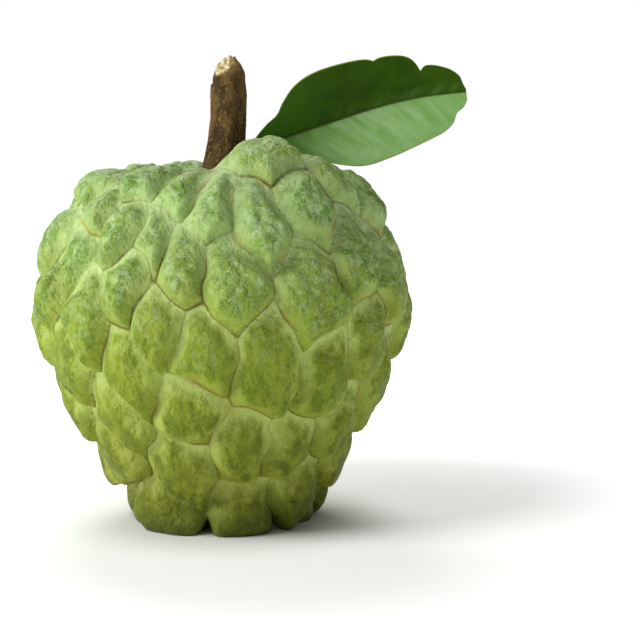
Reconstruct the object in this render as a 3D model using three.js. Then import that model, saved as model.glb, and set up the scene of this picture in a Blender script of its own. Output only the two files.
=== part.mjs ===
// A custard apple (sugar apple, Annona squamosa), whole and as picked: the fruit with its
// raised carpels, the stub of woody stem that it hung by, and one leaf on that stem.
// Millimetres, +Z up. The fruit rests on the plane z = 0 with its axis on the Z axis, and its
// front faces -Y. Turns round the axis are in degrees from the front, towards +X.

import * as THREE from "three";
import { mergeVertices } from "three/addons/utils/BufferGeometryUtils.js";

// FRUIT. Its outline runs along the creases between the carpels, as [radius, height]: from the
// hollow round the stem, over the shoulder, down the flank and in under the base.
const FRUIT_OUTLINE = [
  [0, 73.8], [3, 73.8], [6, 74.0], [11, 76.2], [20, 77.7], [28.4, 75.8], [34, 69.4],
  [37.4, 61.6], [40.6, 51], [39, 41], [34.9, 30.5], [29.4, 20.5], [24.8, 13.2], [21, 9],
  [20.2, 5.4], [18.6, 2.4], [14, 1], [7, 0.5], [0, 0.4],
];
const OUTLINE_STEPS = 60; // samples between two outline points
const FRUIT_EDGE_SPLITS = 23; // each edge of the starting icosahedron is cut into this many

// The carpels on the front, as [turn, height] of the middle of each.
const FRONT_SEATS = [
  [-62, 75.5], [-33, 76.5], [-14, 74.5], [-1, 71.5], [14.5, 69.5], [30, 77.5], [38, 71.5],
  [60, 76], [78, 73.5], [-32, 67.5], [-52, 62.5], [-50, 71], [-70, 65.5], [-65, 56],
  [-21, 66], [-9, 60], [4.5, 59], [-27.5, 57], [-17.5, 48], [-42.5, 50], [-3.5, 41.5],
  [-28, 38], [-57, 38.5], [-8, 29], [-41.5, 26.5], [-52, 18.5], [-15, 14.5], [11, 19],
  [-36, 5], [16, 4],
];
// The others stand on one spiral, a golden angle apart, and then settle to an even spacing.
const SPIRAL_SEATS = 108;
const GOLDEN_ANGLE = Math.PI * (3 - Math.sqrt(5));
const CLEAR_OF_FRONT = 9; // a spiral seat nearer than this to a front seat is dropped
const SETTLE_ROUNDS = 50;
const SETTLE_REACH = 13.5; // seats nearer than this push each other apart
const SETTLE_SHARE = 0.12; // the share of the overlap that one round takes away
const STEM_HOLLOW_ARC = 18; // no seat is nearer to the stem than this, along the outline
const BASE_ARC = 14; // and none but one in the middle nearer than this to the base's centre
const HEIGHT_SHARE = 0.6; // heights count for this share of widths, so carpels stand tall

// A carpel swells from its creases: slowly from its upper end, steeply from its lower one.
const SWELL = 2.05; // at its middle, over the outline
const SWELL_SPREAD = 0.2; // the most that it differs, as a share
const UPPER_SLOPE = 5.6; // distance from the upper crease to full swell
const LOWER_SLOPE = 3;
const LOWER_BULGE = 2.6; // how full the rise from the lower crease is
const CROWN = { height: 0.6, reach: [1, 6] }; // more in the middle, by distance from a crease
const TILT = 0.6; // the lower end stands out by this, and the upper end sinks by it
const CREASE_SINK = { depth: 1.2, reach: 2.5 }; // creases lie lower, for this far to each side
const FOOT_SWELL = { height: 1.6, fade: [10, 15] }; // the lowest carpels stand out more
const SLOPE_REACH = 9; // distance above or below the middle where those slopes hold
const CORNER_ROUNDING = 4; // lower is rounder, where three creases meet
const CORNER_ROUNDS = 4; // turns taken to find such a corner
const HOLLOW_BARE = [5.5, 10]; // the swell starts and is full this far from the stem's axis

// One carpel beside the stem is pushed up, with the shoulder round it. The lift fades out
// between two shares of the outline's length.
const SHOULDER = { x: 10.5, y: -13.5, reach: 9.5, lift: 6, fade: [0.3, 0.5] };

// STEM. Stations of its bent axis, as [x, y, z, radius], from its foot to its snapped end.
const STEM_STATIONS = [
  [0, 0, 74.5, 5.0], [0, 0, 76, 4.9], [0.3, 0, 80, 4.5], [1.0, 0, 85, 4.15],
  [1.5, 0, 90, 4.0], [1.6, 0, 95, 4.05], [1.4, 0, 98.6, 3.9],
];
const STEM_SIDES = 20;
const STEM_RIDGES = { count: 5, height: 0.18 }; // lengthwise ridges of the bark
// Its end is torn: it rises towards one turn, over a slope, with splinters round its rim, and
// leans over along x as it narrows.
const SNAPPED_END = {
  rise: 3.1, slope: 2.1, turn: 50, lean: -0.6, insets: [0.4, 1.5], splinter: 0.4,
};

// LEAF. Its midrib, from the stem to the tip, and its half-widths at shares of that length.
const MIDRIB = [
  [4.45, 3.1, 81.5], [6.3, 4.6, 82.6], [12.6, 8, 85.2], [23, 11, 88.6], [34.6, 13, 92.4],
  [45, 14, 94.9], [55.6, 14, 96.2],
];
const LEAF_UPPER = [
  [0, 1.1], [0.043, 1.3], [0.139, 4.6], [0.196, 6], [0.234, 8.6], [0.292, 11.4], [0.368, 13],
  [0.474, 13.3], [0.636, 12.4], [0.761, 11], [0.822, 9.4], [0.859, 8], [0.902, 6.9],
  [0.941, 5.8], [0.976, 4], [0.99, 1.8], [1, 0.6],
];
const LEAF_LOWER = [
  [0, 1.1], [0.043, 1.3], [0.139, 2.6], [0.234, 5], [0.349, 9.2], [0.474, 12.6],
  [0.598, 12.9], [0.732, 11.9], [0.866, 10.1], [0.927, 7.9], [0.951, 5.3], [0.967, 4.6],
  [0.985, 3.7], [1, 2.1],
];
const NOTCHES = [
  { at: 0.645, depth: 1, reach: 0.022, side: 1 },
  { at: 0.822, depth: 3.2, reach: 0.02, side: 1 },
];
const LEAF_FOLD = 24; // each half is turned up from flat by this much at the midrib
const LEAF_CURL = 0.006; // and bends back by this times the square of the width, per mm
const LEAF_STEPS = 42;
const LEAF_COLUMNS = [0, 0.09, 0.3, 0.55, 0.8, 1]; // shares of the half-width
const LEAF_THICKNESS = 0.7;
const RIB_HEIGHT = [1.3, 0.35]; // of the midrib on the back, at the stem and at the tip

const radians = THREE.MathUtils.degToRad;

// A repeatable draw from 0 to 1 for the whole number n.
function draw(n) {
  const x = Math.sin(n * 12.9898 + 4.1414) * 43758.5453;
  return x - Math.floor(x);
}

function smooth(low, high, x) {
  return THREE.MathUtils.smoothstep(x, low, high);
}

// Reads a list of [at, value] pairs at x, along straight lines between them.
function read(pairs, x) {
  const last = pairs.length - 1;
  let i = 1;
  while (i < last && pairs[i][0] < x) i += 1;
  const [x0, y0] = pairs[i - 1];
  const [x1, y1] = pairs[i];
  const share = THREE.MathUtils.clamp((x - x0) / (x1 - x0), 0, 1);
  return y0 + (y1 - y0) * share;
}

// The fruit's outline as fine samples, with the length run so far at each.
function sampleOutline() {
  const curve = new THREE.SplineCurve(FRUIT_OUTLINE.map(([r, z]) => new THREE.Vector2(r, z)));
  const points = curve.getPoints(OUTLINE_STEPS * (FRUIT_OUTLINE.length - 1));
  const radius = [];
  const height = [];
  let arc = 0;
  let spread = 0;
  const spreads = [];
  points.forEach((p, i) => {
    if (i > 0) {
      const q = points[i - 1];
      arc += p.distanceTo(q);
      const run = Math.hypot(p.x - q.x, HEIGHT_SHARE * (p.y - q.y));
      spread += run * (p.x + q.x) / 2;
    }
    radius.push([arc, p.x]);
    height.push([arc, p.y]);
    spreads.push([spread, arc]);
  });
  return { radius, height, spreads, length: arc, spread };
}

// Reads evenly dense pairs, as read does, by halving.
function lookUp(pairs, x) {
  let low = 0;
  let high = pairs.length - 1;
  while (high - low > 1) {
    const middle = (low + high) >> 1;
    if (pairs[middle][0] <= x) low = middle;
    else high = middle;
  }
  const [x0, y0] = pairs[low];
  const [x1, y1] = pairs[high];
  const share = THREE.MathUtils.clamp((x - x0) / (x1 - x0 || 1), 0, 1);
  return y0 + (y1 - y0) * share;
}

const outline = sampleOutline();

// The point of the creased surface at a turn in radians and a length along the outline.
function surfacePoint(turn, arc) {
  const r = lookUp(outline.radius, arc);
  return new THREE.Vector3(r * Math.sin(turn), -r * Math.cos(turn), lookUp(outline.height, arc));
}

// Unit vectors at a surface place: round the axis, and down the outline.
function directions(turn, arc) {
  const ahead = surfacePoint(turn, Math.min(arc + 0.5, outline.length));
  const behind = surfacePoint(turn, Math.max(arc - 0.5, 0));
  return {
    east: new THREE.Vector3(Math.cos(turn), Math.sin(turn), 0),
    south: ahead.sub(behind).normalize(),
  };
}

const squeezed = (p) => new THREE.Vector3(p.x, p.y, p.z * HEIGHT_SHARE);

// The length along the outline where its flank has this height.
function arcAtHeight(z) {
  const heights = outline.height.map((pair) => pair[1]);
  let i = heights.indexOf(Math.max(...heights));
  while (i < heights.length - 1 && heights[i] > z) i += 1;
  return outline.height[i][0];
}

function placeSeats() {
  const front = FRONT_SEATS.map(([turn, z]) => ({ turn: radians(turn), arc: arcAtHeight(z) }));
  const seats = [...front];
  for (let i = 0; i < SPIRAL_SEATS; i += 1) {
    const arc = lookUp(outline.spreads, ((i + 0.5) / SPIRAL_SEATS) * outline.spread);
    const seat = { turn: i * GOLDEN_ANGLE, arc };
    const here = squeezed(surfacePoint(seat.turn, seat.arc));
    const nearest = Math.min(
      ...front.map((f) => here.distanceTo(squeezed(surfacePoint(f.turn, f.arc)))),
    );
    const between = arc > STEM_HOLLOW_ARC && arc < outline.length - BASE_ARC;
    if (between && nearest > CLEAR_OF_FRONT) seats.push(seat);
  }
  seats.push({ turn: 0, arc: outline.length, still: true });
  for (let round = 0; round < SETTLE_ROUNDS; round += 1) {
    const places = seats.map((s) => squeezed(surfacePoint(s.turn, s.arc)));
    seats.slice(front.length).forEach((seat, k) => {
      if (seat.still) return;
      const here = places[front.length + k];
      const push = new THREE.Vector3();
      places.forEach((other) => {
        const away = here.clone().sub(other);
        const distance = away.length();
        if (distance < 1e-6 || distance > SETTLE_REACH) return;
        push.addScaledVector(away, (SETTLE_REACH - distance) / distance * SETTLE_SHARE);
      });
      push.z /= HEIGHT_SHARE;
      const { east, south } = directions(seat.turn, seat.arc);
      const r = Math.max(lookUp(outline.radius, seat.arc), 1);
      seat.turn += push.dot(east) / r;
      seat.arc = THREE.MathUtils.clamp(
        seat.arc + push.dot(south), STEM_HOLLOW_ARC, outline.length - BASE_ARC,
      );
    });
  }
  return seats.map((s) => ({ ...s, place: squeezed(surfacePoint(s.turn, s.arc)) }));
}

const seats = placeSeats();

// How far a squeezed point on one seat's side is from the crease between two seats.
function toCrease(point, own, other) {
  const apart = seats[other].place.distanceTo(seats[own].place);
  const here = point.distanceToSquared(seats[own].place);
  return (point.distanceToSquared(seats[other].place) - here) / (2 * apart);
}

function nearestSeat(point) {
  const squares = seats.map((s) => point.distanceToSquared(s.place));
  return squares.indexOf(Math.min(...squares));
}

// The carpel that holds a place of the surface, and the place's distance from the nearest
// crease, rounded off where creases meet.
function carpelAt(turn, arc) {
  const here = squeezed(surfacePoint(turn, arc));
  const own = nearestSeat(here);
  let sum = 0;
  seats.forEach((seat, i) => {
    if (i !== own) sum += Math.max(toCrease(here, own, i), 1e-4) ** -CORNER_ROUNDING;
  });
  return { own, rounded: sum ** (-1 / CORNER_ROUNDING) };
}

// Moves a place onto the crease between two seats.
function moveOnto(place, own, other) {
  const distance = toCrease(squeezed(surfacePoint(place.turn, place.arc)), own, other);
  const step = seats[other].place.clone().sub(seats[own].place).setLength(distance);
  step.z /= HEIGHT_SHARE;
  const { east, south } = directions(place.turn, place.arc);
  place.turn += step.dot(east) / lookUp(outline.radius, place.arc);
  place.arc += step.dot(south);
}

// Where an edge of the net crosses a crease, its nearer end is moved onto the crease, the
// nearest ones first. An end on two creases is brought to the corner where they meet.
function followCreases(places, index) {
  const points = places.map(({ turn, arc }) => squeezed(surfacePoint(turn, arc)));
  const owners = points.map(nearestSeat);
  const crossings = [];
  for (let i = 0; i < index.length; i += 1) {
    const a = index[i];
    const b = index[i % 3 === 2 ? i - 2 : i + 1];
    const bare = places[a].arc < HOLLOW_BARE[1] || places[b].arc < HOLLOW_BARE[1];
    if (a > b || owners[a] === owners[b] || bare) continue;
    const key = [owners[a], owners[b]].sort().join("-");
    const da = toCrease(points[a], owners[a], owners[b]);
    const db = toCrease(points[b], owners[b], owners[a]);
    const pair = da < db ? [owners[a], owners[b]] : [owners[b], owners[a]];
    crossings.push({ a, b, key, pair, end: da < db ? a : b, distance: Math.min(da, db) });
  }
  crossings.sort((p, q) => p.distance - q.distance);
  const moved = places.map(() => new Map());
  crossings.forEach(({ a, b, key, pair, end }) => {
    if (!moved[a].has(key) && !moved[b].has(key)) moved[end].set(key, pair);
  });
  moved.forEach((pairs, i) => {
    const rounds = pairs.size > 1 ? CORNER_ROUNDS : 1;
    for (let round = 0; round < rounds; round += 1) {
      pairs.forEach(([own, other]) => moveOnto(places[i], own, other));
    }
  });
}

function swellAt(turn, arc) {
  const { own, rounded } = carpelAt(turn, arc);
  const below = THREE.MathUtils.clamp((arc - seats[own].arc) / SLOPE_REACH, -1, 1);
  const lower = smooth(-0.9, 0.6, below);
  const inward = Math.min(rounded / THREE.MathUtils.lerp(UPPER_SLOPE, LOWER_SLOPE, lower), 1);
  const full = 1 - (1 - inward) ** LOWER_BULGE;
  const dome = THREE.MathUtils.lerp(smooth(0, 1, inward), full, lower);
  const size = 1 + SWELL_SPREAD * (2 * draw(own) - 1);
  const body = smooth(0.2, 2.5, rounded);
  const foot = FOOT_SWELL.height * (1 - smooth(...FOOT_SWELL.fade, surfacePoint(turn, arc).z));
  const crown = CROWN.height * (smooth(...CROWN.reach, rounded) - 0.5);
  const sunk = CREASE_SINK.depth * (1 - smooth(0, CREASE_SINK.reach, rounded));
  return SWELL * size * dome + (crown + foot) * body + TILT * below * smooth(0.1, 1.5, rounded) - sunk;
}

// The finished surface of the fruit: swollen carpels, the raised shoulder, the flat base.
function fruitPoint(turn, arc) {
  const p = surfacePoint(turn, arc);
  const { east, south } = directions(turn, arc);
  const share = arc / outline.length;
  const shown = share < 0.5 ? smooth(...HOLLOW_BARE, Math.hypot(p.x, p.y)) : 1;
  const outward = south.clone().cross(east).normalize();
  p.addScaledVector(outward, swellAt(turn, arc) * shown);
  const away = Math.hypot(p.x - SHOULDER.x, p.y - SHOULDER.y) / SHOULDER.reach;
  const lift = SHOULDER.lift * Math.exp(-away * away / 2) * shown;
  p.z += lift * (1 - smooth(...SHOULDER.fade, share));
  p.z = Math.max(p.z, 0);
  return p;
}

function makeFruit() {
  const ball = new THREE.IcosahedronGeometry(1, FRUIT_EDGE_SPLITS - 1);
  ball.deleteAttribute("normal");
  ball.deleteAttribute("uv");
  const geometry = mergeVertices(ball, 1e-5);
  const position = geometry.getAttribute("position");
  const places = Array.from({ length: position.count }, (_, i) => {
    const direction = new THREE.Vector3().fromBufferAttribute(position, i).normalize();
    const polar = Math.acos(THREE.MathUtils.clamp(direction.z, -1, 1));
    return {
      turn: Math.atan2(direction.x, -direction.y),
      arc: (polar / Math.PI) * outline.length,
    };
  });
  followCreases(places, geometry.index.array);
  places.forEach(({ turn, arc }, i) => position.setXYZ(i, ...fruitPoint(turn, arc).toArray()));
  geometry.computeVertexNormals();
  return geometry;
}

// A closed skin over rings of points, each ring as long as the others, with a middle point
// for each end.
function skin(rings, start, end) {
  const sides = rings[0].length;
  const points = [...rings.flat(), start, end];
  const faces = [];
  for (let i = 0; i < rings.length - 1; i += 1) {
    for (let k = 0; k < sides; k += 1) {
      const next = (k + 1) % sides;
      const a = i * sides + k;
      const b = i * sides + next;
      faces.push(a, b, b + sides, a, b + sides, a + sides);
    }
  }
  const last = (rings.length - 1) * sides;
  for (let k = 0; k < sides; k += 1) {
    const next = (k + 1) % sides;
    faces.push(points.length - 2, next, k);
    faces.push(points.length - 1, last + k, last + next);
  }
  const geometry = new THREE.BufferGeometry();
  geometry.setAttribute(
    "position",
    new THREE.Float32BufferAttribute(points.flatMap((p) => p.toArray()), 3),
  );
  geometry.setIndex(faces);
  geometry.computeVertexNormals();
  return geometry;
}

function makeStem() {
  const ring = ([x, y, z, radius], height) => Array.from({ length: STEM_SIDES }, (_, k) => {
    const angle = (k / STEM_SIDES) * 2 * Math.PI;
    const r = radius + STEM_RIDGES.height * Math.cos(STEM_RIDGES.count * angle);
    return new THREE.Vector3(x + r * Math.cos(angle), y + r * Math.sin(angle), height(angle, z, k));
  });
  const rings = STEM_STATIONS.map((station) => ring(station, (angle, z) => z));
  const end = STEM_STATIONS.at(-1);
  const { rise, slope, turn, lean, insets, splinter } = SNAPPED_END;
  const torn = (share) => (angle, z, k) => (
    z + share * (rise + slope * Math.cos(angle - radians(turn)) + splinter * (2 * draw(k) - 1))
  );
  const [x, y, z, radius] = end;
  insets.forEach((inset, i) => {
    const share = (i + 1) / insets.length;
    rings.push(ring([x + lean * share, y, z, radius - inset], torn(share)));
  });
  const foot = new THREE.Vector3(...STEM_STATIONS[0].slice(0, 3));
  return skin(rings, foot, new THREE.Vector3(x + lean, y, z + rise));
}

// The leaf's half-width on one side (1 upper, -1 lower) at a share of its length.
function halfWidth(share, side) {
  const plain = read(side > 0 ? LEAF_UPPER : LEAF_LOWER, share);
  const cut = NOTCHES.filter((n) => n.side === side).reduce(
    (sum, n) => sum + n.depth * Math.exp(-Math.abs(share - n.at) / n.reach), 0,
  );
  return Math.max(plain - cut, 0.6);
}

// Shares of the leaf's length, evenly spaced, each notch's deepest place among them.
function leafStations() {
  const even = Array.from({ length: LEAF_STEPS + 1 }, (_, i) => i / LEAF_STEPS);
  return even.map((share) => {
    const notch = NOTCHES.find((n) => Math.abs(n.at - share) < 0.5 / LEAF_STEPS);
    return notch ? notch.at : share;
  });
}

const midrib = new THREE.CatmullRomCurve3(
  MIDRIB.map((p) => new THREE.Vector3(...p)), false, "catmullrom", 0.5,
);

// A point of the leaf on its front, and the one behind it. Columns run from the midrib (0) to
// an edge (1); the side is 1 for the upper half and -1 for the lower one.
function leafPoints(share, column, side) {
  const origin = midrib.getPointAt(share);
  const along = midrib.getTangentAt(share);
  const up = new THREE.Vector3(0, 0, 1).addScaledVector(along, -along.z).normalize();
  const face = up.clone().cross(along).normalize();
  const width = halfWidth(share, side) * column;
  const fold = radians(LEAF_FOLD);
  const lift = width * Math.sin(fold) - LEAF_CURL * width * width;
  const front = origin.addScaledVector(up, side * width * Math.cos(fold));
  front.addScaledVector(face, -lift);
  const rib = column > 0 ? 0 : THREE.MathUtils.lerp(...RIB_HEIGHT, share);
  return { front, back: front.clone().addScaledVector(face, LEAF_THICKNESS + rib) };
}

function makeLeaf() {
  const upper = LEAF_COLUMNS.map((column) => [column, 1]).reverse();
  const lower = LEAF_COLUMNS.slice(1).map((column) => [column, -1]);
  const rings = leafStations().map((share) => {
    const pairs = [...upper, ...lower].map(([column, side]) => leafPoints(share, column, side));
    return [...pairs.map((p) => p.front), ...pairs.map((p) => p.back).reverse()];
  });
  const middle = (ring) => ring[upper.length - 1].clone().lerp(ring.at(-upper.length), 0.5);
  return skin(rings, middle(rings[0]), middle(rings.at(-1)));
}

function piece(name, geometry, colour, roughness) {
  const material = new THREE.MeshStandardMaterial({ color: colour, roughness, metalness: 0 });
  const mesh = new THREE.Mesh(geometry, material);
  mesh.name = name;
  return mesh;
}

const custardApple = new THREE.Group();
custardApple.add(piece("fruit", makeFruit(), 0x93b060, 0.6));
custardApple.add(piece("stem", makeStem(), 0x5e4426, 0.85));
custardApple.add(piece("leaf", makeLeaf(), 0x4c7a1e, 0.4));

export default custardApple;
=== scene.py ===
"""The looks of a whole custard apple with its stem and leaf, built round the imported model.

The fruit, the stem and the leaf are each made again as a fine mesh by the same rules and sizes
as the solids that they replace. Sizes are in millimetres here, and the scene is in metres.
Turns round the axis are in degrees from the front (-Y), towards +X.
"""

import math

import bmesh
import bpy
import numpy as np
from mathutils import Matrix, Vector, noise


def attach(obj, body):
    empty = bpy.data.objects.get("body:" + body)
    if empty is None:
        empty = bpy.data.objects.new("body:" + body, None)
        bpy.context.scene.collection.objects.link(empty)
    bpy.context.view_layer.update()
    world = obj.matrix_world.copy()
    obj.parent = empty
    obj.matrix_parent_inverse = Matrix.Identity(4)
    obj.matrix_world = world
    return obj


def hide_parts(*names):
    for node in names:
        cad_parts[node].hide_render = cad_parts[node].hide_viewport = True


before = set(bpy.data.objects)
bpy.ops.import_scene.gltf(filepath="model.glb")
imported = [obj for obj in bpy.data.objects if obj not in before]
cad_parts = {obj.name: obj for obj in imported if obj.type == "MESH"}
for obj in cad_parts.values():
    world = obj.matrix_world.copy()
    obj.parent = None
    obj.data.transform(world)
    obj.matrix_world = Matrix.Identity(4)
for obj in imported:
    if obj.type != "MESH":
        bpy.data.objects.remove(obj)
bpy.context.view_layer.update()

MM = 0.001

# CAMERA. It stands this far from its aim, raised above the level.
CAMERA_AIM = (22.0, 0.0, 44.8)
CAMERA_DISTANCE = 400.0
CAMERA_RAISED = 6.0
CAMERA_LENS = 100.0

# FRUIT. Its outline runs along the creases between the carpels, as (radius, height).
FRUIT_OUTLINE = (
    (0, 73.8), (3, 73.8), (6, 74.0), (11, 76.2), (20, 77.7), (28.4, 75.8), (34, 69.4),
    (37.4, 61.6), (40.6, 51), (39, 41), (34.9, 30.5), (29.4, 20.5), (24.8, 13.2), (21, 9),
    (20.2, 5.4), (18.6, 2.4), (14, 1), (7, 0.5), (0, 0.4),
)
OUTLINE_STEPS = 60  # samples between two outline points
FRUIT_EDGE_SPLITS = 98  # each edge of the starting icosahedron is cut into this many

# The carpels on the front, as (turn, height) of the middle of each.
FRONT_SEATS = (
    (-62, 75.5), (-33, 76.5), (-14, 74.5), (-1, 71.5), (14.5, 69.5), (30, 77.5), (38, 71.5),
    (60, 76), (78, 73.5), (-32, 67.5), (-52, 62.5), (-50, 71), (-70, 65.5), (-65, 56),
    (-21, 66), (-9, 60), (4.5, 59), (-27.5, 57), (-17.5, 48), (-42.5, 50), (-3.5, 41.5),
    (-28, 38), (-57, 38.5), (-8, 29), (-41.5, 26.5), (-52, 18.5), (-15, 14.5), (11, 19),
    (-36, 5), (16, 4),
)
# The others stand on one spiral, a golden angle apart, and then settle to an even spacing.
SPIRAL_SEATS = 108
GOLDEN_ANGLE = math.pi * (3 - math.sqrt(5))
CLEAR_OF_FRONT = 9  # a spiral seat nearer than this to a front seat is dropped
SETTLE_ROUNDS = 50
SETTLE_REACH = 13.5  # seats nearer than this push each other apart
SETTLE_SHARE = 0.12  # the share of the overlap that one round takes away
STEM_HOLLOW_ARC = 18  # no seat is nearer to the stem than this, along the outline
BASE_ARC = 14  # and none but one in the middle nearer than this to the base's centre
HEIGHT_SHARE = 0.6  # heights count for this share of widths, so carpels stand tall

SWELL = 2.05  # of a carpel at its middle, over the creases
SWELL_SPREAD = 0.2  # carpels differ in swell by this share, up or down
UPPER_SLOPE = 5.6  # distance from the upper crease to full swell
LOWER_SLOPE = 3.0
LOWER_BULGE = 2.6  # how steeply the lower slope starts from its crease
LOWER_END = (-0.9, 0.6)  # levels in a carpel between which the lower slope takes over
BODY = (0.2, 2.5)  # distances from the crease over which a carpel's body begins
# The lowest carpels stand out this much more, which fades between two heights.
FOOT_SWELL = {"height": 1.6, "fade": (15, 10)}
CREASE_SINK = {"depth": 1.2, "reach": 2.5}  # creases lie lower, this far to each side
CREASE_FLAT = 0.1  # the bottom of a crease is flat for this far to each side
CROWN = {"height": 0.6, "reach": (1, 6)}  # more height in the middle of a carpel
# A carpel's lower end stands out by this and its upper end sinks by it, but at its creases.
TILT = {"height": 0.6, "fade": 1.5}
SLOPE_REACH = 9  # from a carpel's middle to where its level counts as its end
CORNER_ROUNDING = 4  # lower is rounder, where three creases meet
HOLLOW_BARE = (5.5, 10)  # radii between which the carpels begin, round the stem
CORKY_RING = (6.0, 8.5)  # the skin round the stem is corky within these radii
# One raised lump beside the stem, which fades between these shares of the outline.
SHOULDER = {"x": 10.5, "y": -13.5, "reach": 9.5, "lift": 6, "fade": (0.3, 0.5)}
# How far a crease strays from a straight run, and over what length.
CREASE_WANDER = {"far": 0.9, "length": 6.5}
# Bumps of the skin, as (height, width): broad ones and fine grain.
SKIN_BUMPS = ((0.36, 6.0), (0.14, 2.4), (0.05, 1.2))
BUMPS_IN_CREASE = 0.2  # the share of a bump's height that is left in a crease
# The leathery wrinkles, which the top has most of: bent folds between flat tops.
WRINKLE = {
    "depth": 1.7, "width": 3.8, "middle": 0.2, "flat": 0.4, "bend": 0.8, "bend_width": 2.5,
    "heights": (30, 72), "least": 0.3,
}
NOISE_HEIGHT_SHARE = 0.8  # the skin's bumps are this much longer upwards
SKIN_HEIGHT = 80  # the height that the materials count as 1
NO_CREASE = 4  # the distance from a crease that bare skin in the hollow is given

# STEM. Stations of its bent axis, as (x, y, z, radius), from its foot to its torn end.
STEM_STATIONS = (
    (0, 0, 74.5, 5.0), (0, 0, 76, 4.9), (0.3, 0, 80, 4.5), (1.0, 0, 85, 4.15),
    (1.5, 0, 90, 4.0), (1.6, 0, 95, 4.05), (1.4, 0, 98.6, 3.9),
)
STEM_SIDES = 96
STEM_RINGS = 150
STEM_RIDGES = {"count": 5, "height": 0.18}
# Its torn end rises towards one turn, over a slope, and leans over along x as it narrows.
SNAPPED_END = {
    "rise": 3.1, "slope": 2.1, "turn": 50, "lean": -0.6, "narrowing": 0.38, "cup": 1.2, "splinter": 0.5,
}
# Rings where the bark turns in at the torn end, and from there to the middle of the end, as
# (first share, last share, count).
LIP_RINGS = (0.1, 1, 12)
CUP_RINGS = (0.1, 0.96, 14)
# How torn a place is runs from 0, bark, to 1, wood.
LIP_TORN = 0.3  # at the lip's last ring
BARK_ENDS = (0.3, 1)
SPLINTERS_BEGIN = (0.05, 0.3)
PALE_WOOD = {"torn": (0.1, 0.5), "across": (1.4, -0.6)}  # palest towards -X
STEM_SET_IN = {"depth": 0.6, "heights": (97.0, 97.8)}  # on its left side
# Bumps of the bark, as (height, width, how far heights count, seed).
BARK_BUMPS = ((0.14, 1.4, 0.3, 2), (0.1, 2.6, 1, 4), (0.06, 0.8, 1, 3))
SPLINTERS = ((1, 0.8, 0.05, 6), (0.6, 1.9, 0.05, 7))

# LEAF. Its midrib, from the stem to the tip, and its half-widths at shares of that length.
MIDRIB = (
    (4.45, 3.1, 81.5), (6.3, 4.6, 82.6), (12.6, 8, 85.2), (23, 11, 88.6), (34.6, 13, 92.4),
    (45, 14, 94.9), (55.6, 14, 96.2),
)
LEAF_UPPER = (
    (0, 1.1), (0.043, 1.3), (0.139, 4.6), (0.196, 6), (0.234, 8.6), (0.292, 11.4),
    (0.368, 13), (0.474, 13.3), (0.636, 12.4), (0.761, 11), (0.822, 9.4), (0.859, 8),
    (0.902, 6.9), (0.941, 5.8), (0.976, 4), (0.99, 1.8), (1, 0.6),
)
LEAF_LOWER = (
    (0, 1.1), (0.043, 1.3), (0.139, 2.6), (0.234, 5), (0.349, 9.2), (0.474, 12.6),
    (0.598, 12.9), (0.732, 11.9), (0.866, 10.1), (0.927, 7.9), (0.951, 5.3), (0.967, 4.6),
    (0.985, 3.7), (1, 2.1),
)
NOTCHES = (
    {"at": 0.645, "depth": 1.0, "reach": 0.022, "side": 1},
    {"at": 0.822, "depth": 3.2, "reach": 0.02, "side": 1},
)
LEAF_FOLD = 24.0  # degrees that each half is folded up by
LEAF_CURL = 0.006  # how much the halves curl back with the square of their width
MIDRIB_STEPS = 80  # samples between two points of the midrib
EDGE_STEPS = 12  # and between two half-widths
LEAF_STEPS = 260  # rows of points along the midrib
LEAF_ACROSS = 34  # columns of points on each side of the midrib
LEAF_CROWDING = 1.25  # the columns stand closer towards the midrib
LEAF_LEAST_WIDTH = 0.6
MIDRIB_AHEAD = 0.01  # the share of its length over which the midrib's direction is read
LEAF_THICKNESS = 0.7
EDGE_THINNING = {"share": 0.35, "from": 0.9}
RIB_HEIGHT = (1.3, 0.35)  # at the stalk and at the tip
RIB_SHARE = 0.09  # of the half-width, to each side of the midrib
RIB_LEAST_WIDTH = 0.9
RIB_ROUNDING = 0.7
VEIN_SPACING = 5.2
VEIN_SLANT = 0.75  # how far a vein runs towards the tip for each step outwards
VEIN_SHIFT = 0.35  # the two sides' veins don't start at the same points
VEIN_WIDTH = 0.45
VEIN_DEPTH = 0.04
VEIN_BACK_HEIGHT = 0.1
VEIN_FADE = (0.6, 2.5)  # distances from the midrib between which the veins deepen
MIDRIB_GROOVE = {"depth": 0.15, "width": 0.35}
# The blade swells between the veins and ripples, both more away from the midrib.
QUILTING = {"height": 0.06, "fade": (1.5, 5)}
LEAF_RIPPLE = {"height": 0.25, "width": 6.0, "fade": (2, 8)}
# Streaks run along the veins. They are this many times as long as wide, differ between the
# two sides, and are given as the bark's bumps are.
STREAK_STRETCH = 7
STREAK_SHIFT = 9
STREAKS = ((0.6, 1.7, 1, 14), (0.4, 0.8, 1, 15))

# MATERIALS. Widths of their grain and heights of their fine bumps, in millimetres.
SKIN_GRAIN = {
    "broad": 13, "blotch": 2.8, "stipple": 0.8, "leather": 1.9, "fine": 0.6,
    "folds": 2.4, "fresh": 4.2, "bloom_and_sheen_mask": 2.0, "ripe": 9, "specks": 1.4,
}
SKIN_RELIEF = {"blotch": 0.65, "folds": 0.13, "leather": 0.85, "fine": 0.16}
BARK_GRAIN = {"streaks": 0.9, "patches": 3.5, "grit": 0.45, "fibre": 0.6}
BARK_RELIEF = {"streaks": 0.3, "grit": 0.25}
LEAF_GRAIN = {"mottle": 5.0, "cells": 0.5}
LEAF_RELIEF = {"streak": 0.06, "cells": 0.05}

# STAGE, in metres and watts.
FLOOR_REACH = 3.0
FLOOR_ROUGHNESS = 0.9
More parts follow.
